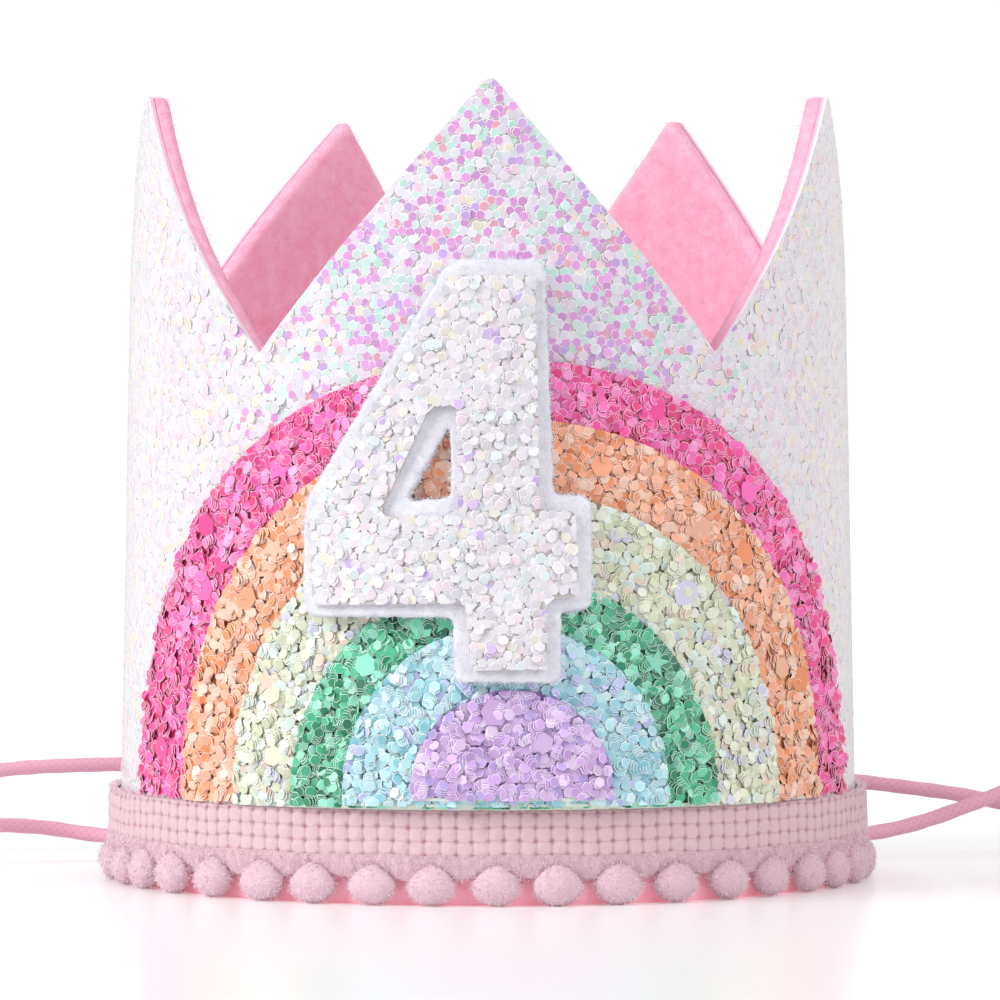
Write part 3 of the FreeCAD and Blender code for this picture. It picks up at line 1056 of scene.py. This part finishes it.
def pompom_material():
    """Yarn in the tint of its points, a little mottled."""
    material, look = new_material(
        "pompom_yarn", Roughness=0.95, Sheen_Weight=0.3, Specular_IOR_Level=0.1
    )
    pile = look.noise(3200.0, Detail=3.0)["Fac"]
    shade = look.ramp(pile, (0.35, (0.92, 0.87, 0.89)), (0.6, (1, 1, 1)))
    look.feed("Base Color", look.mix(1.0, look.tint()["Color"], shade, "MULTIPLY"))
    look.bump(pile, 0.7, 0.25)
    return material


def pompoms():
    """Forty soft balls of yarn under the braid, each a solid middle full of hairs."""
    material = pompom_material()
    half = np.array(pompom_size) / 2
    centre_radius = wall_radius - canvas_thickness + half[1] - 0.1
    index = np.arange(fluff_fibres) + 0.5
    even = on_ball(np.arccos(1 - 2 * index / fluff_fibres), math.pi * (1 + 5 ** 0.5) * index)
    rings, sides = 12, 18
    polar, spin = np.meshgrid(
        np.arange(rings + 1) * math.pi / rings, np.arange(sides) * 2 * math.pi / sides, indexing="ij"
    )
    core = on_ball(polar, spin).reshape(-1, 3)
    # Painted shade: the solid middle, deep under the hairs, is a little darker
    core_shade_tint = np.tile(linear("EACAD6"), (len(core), 1))
    faces = ribbon_faces(fluff_fibres) + tube_faces(rings + 1, sides, fluff_fibres * 5)
    for number in range(pompom_count):
        turn = math.radians(pompom_start + number * 360 / pompom_count + rng.normal(0, 0.3))
        back = np.array([-math.sin(turn), math.cos(turn), 0.0])
        to_world = np.array([(math.cos(turn), math.sin(turn), 0), back, (0, 0, 1)])
        centre = (0, 0, half[2]) - back * centre_radius
        size = half * rng.uniform(0.96, 1.03)
        seed = rng.uniform(0, 50, 3)
        shaped = pompom_shape(unit(even + rng.normal(0, 0.04, even.shape)), seed)
        roots = centre + (shaped * size * 0.92) @ to_world
        combed = shaped + rng.normal(0, 0.09, even.shape)
        tips = centre + (combed * size * rng.uniform(0.98, 1.06, (fluff_fibres, 1))) @ to_world
        ways = tips - roots
        across = unit(np.cross(ways, rng.normal(0, 1, ways.shape)))
        middle = (roots + tips) / 2 + np.cross(across, ways) * rng.normal(0, 0.25, (fluff_fibres, 1))
        wide = across * 0.045
        hairs = np.stack([roots - wide, roots + wide, middle + wide, middle - wide, tips], axis=1)
        shade = 1 + rng.normal(0, 0.03, (fluff_fibres, 1))
        # Painted shade: each hair darker at its root, deep in the pile, paler towards its tip
        low = np.array(linear("EFCAD6")) * shade
        high = np.clip(np.array(linear("FDEEF4")) * shade, 0, 1)
        hair_tint_root_shade = np.stack([low, low, high, high, high], axis=1).reshape(-1, 3)
        body = centre + (pompom_shape(core, seed) * size * 0.965) @ to_world
        points = np.concatenate([hairs.reshape(-1, 3), body])
        points[:, 2] = np.maximum(points[:, 2], 0.03)
        label = "%02d" % (number + 1)
        tint = np.concatenate([hair_tint_root_shade, core_shade_tint])
        piece = add_piece("fluff_" + label, points, faces, material, tint=tint)
        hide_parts("pompom_" + label)


def elastic():
    """The chin elastic: a round knitted cord along a smooth line through its route."""
    curve = bpy.data.curves.new("elastic_route", "CURVE")
    curve.dimensions = "3D"
    spline = curve.splines.new("NURBS")
    spline.points.add(len(elastic_points) - 1)
    for point, place in zip(spline.points, elastic_points):
        point.co = (*(value * MM for value in place), 1)
    spline.order_u = 3
    spline.use_endpoint_u = True
    spline.resolution_u = 14
    holder = bpy.data.objects.new("elastic_route", curve)
    line = bpy.data.meshes.new_from_object(holder)
    path = np.array([vertex.co[:] for vertex in line.vertices]) / MM
    bpy.data.objects.remove(holder)
    bpy.data.meshes.remove(line)
    steps = np.linalg.norm(np.diff(path, axis=0), axis=1)
    along = np.concatenate([[0], np.cumsum(steps)])
    tangent = unit(np.gradient(path, along, axis=0))
    normal = np.cross(tangent[0], (0, 0, 1.0))
    sides = 18
    spin = np.arange(sides) * 2 * math.pi / sides
    points, uv = [], []
    for place, ahead, gone in zip(path, tangent, along):
        normal = normal - ahead * (normal @ ahead)
        normal /= np.linalg.norm(normal)
        other = np.cross(ahead, normal)
        radius = elastic_diameter / 2 * (0.97 + 0.035 * np.cos(6 * spin + gone * 1.3))
        ring = np.outer(radius * np.cos(spin), normal) + np.outer(radius * np.sin(spin), other)
        points.append(place + ring)
        uv.append(np.stack([np.full(sides, gone), spin], axis=1))
    last = (len(path) - 1) * sides
    ends = [tuple(reversed(range(sides))), tuple(range(last, last + sides))]
    cord = add_piece(
        "chin_elastic", np.concatenate(points), tube_faces(len(path), sides) + ends,
        elastic_material(), uv=np.concatenate(uv),
    )
    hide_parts("elastic")


def elastic_material():
    """Round knitted elastic: crossing strands that leave small diamond ridges."""
    material, look = new_material(
        "elastic_yarn", Roughness=0.7, Sheen_Weight=0.2, Sheen_Roughness=0.4
    )
    place = look.split(look.wrap())
    along = look.maths("MULTIPLY", place["X"], 5.0)
    waves = []
    for strands in (6.0, -6.0):
        waves.append(look.maths("SINE", look.maths("MULTIPLY_ADD", place["Y"], strands, along)))
    ridge = look.maths("MAXIMUM", *waves)
    look.feed("Base Color", look.ramp(ridge, (0.0, linear("F3ADC6")), (0.7, linear("F8BAD0"))))
    look.bump(ridge, 0.15, 0.08)
    return material


def surroundings():
    """White floor and background, a soft key from the front left and even fill."""
    mesh = bpy.data.meshes.new("floor")
    corners = ((-1, -1), (1, -1), (1, 1), (-1, 1))
    mesh.from_pydata([(x * floor_reach, y * floor_reach, 0) for x, y in corners], [], [(0, 1, 2, 3)])
    floor = add_object("floor", mesh)
    material, look = new_material(
        "floor", Roughness=0.25, Base_Color=(0.9, 0.89, 0.9, 1), Specular_IOR_Level=0.4,
        Emission_Color=(1, 1, 1, 1),
    )
    seen = look.add("LightPath").outputs["Is Camera Ray"]
    look.feed("Emission Strength", look.maths("MULTIPLY", seen, floor_glow))
    mesh.materials.append(material)

    world = bpy.data.worlds.new("world")
    bpy.context.scene.world = world
    sky = Nodes(world, "Background", Color=(1, 1, 1, 1))
    ray = sky.add("LightPath").outputs
    seen = ray["Is Camera Ray"]
    for other in ("Is Glossy Ray", "Is Transmission Ray"):
        seen = sky.maths("MAXIMUM", seen, ray[other])
    level = sky.add("MapRange", Value=seen, To_Min=world_level, To_Max=1.0)
    sky.feed("Strength", level.outputs["Result"])

    for name, way, strength, softness in (
        ("key", (0.92, 0.42, -0.55), 2.0, 32),
        ("fill", (-0.65, 0.65, -0.75), 0.96, 50),
    ):
        lamp = bpy.data.lights.new(name, "SUN")
        lamp.energy = strength
        lamp.angle = math.radians(softness)
        add_object(name, lamp).rotation_euler = Vector(way).to_track_quat("-Z", "Y").to_euler()


def main():
    bpy.context.scene.view_settings.view_transform = "Standard"
    add_camera()
    elastic()
    shell_flakes()
    shell_canvas()
    for index in range(len(disc_sizes)):
        disc_flakes(index)
    for index, count in ((0, 14), (1, 9), (2, 8), (3, 5), (4, 2), (5, 2)):
        confetti(index, count)
    numeral_flakes()
    felt_wall()
    numeral_felt()
    braid()
    pompoms()
    surroundings()


main()
